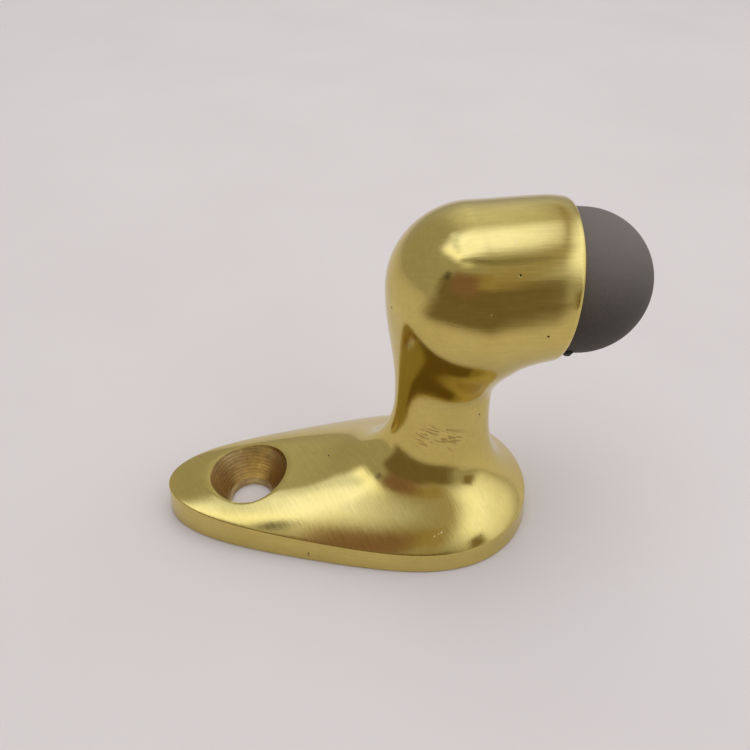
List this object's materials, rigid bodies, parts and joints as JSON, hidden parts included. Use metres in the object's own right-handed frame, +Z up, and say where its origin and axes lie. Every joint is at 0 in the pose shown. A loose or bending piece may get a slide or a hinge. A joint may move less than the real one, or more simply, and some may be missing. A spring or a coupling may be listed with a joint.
{
  "type": "gooseneck door stop",
  "caption": "Floor-mounted brass gooseneck door stop: egg-shaped base with a countersunk screw hole, curved neck and a domed rubber bumper.",
  "frame": {"origin": "middle of the base's length and width, on its flat underside", "axes": "+Z up from the floor, +X towards the rubber bumper, -X towards the screw hole; mirror symmetric about the XZ plane"},
  "size_m": [0.0715, 0.0324, 0.0544],
  "materials": {
    "brass": "satin polished, fine brushed grain",
    "rubber": "matte moulded grey",
    "steel": "zinc plated",
    "adhesive": "cured black adhesive"
  },
  "bodies": {
    "root": {"body_casting": "brass", "rubber_bumper": "rubber", "bumper_stud": "steel", "socket_adhesive": "adhesive"}
  },
  "joints": []
}
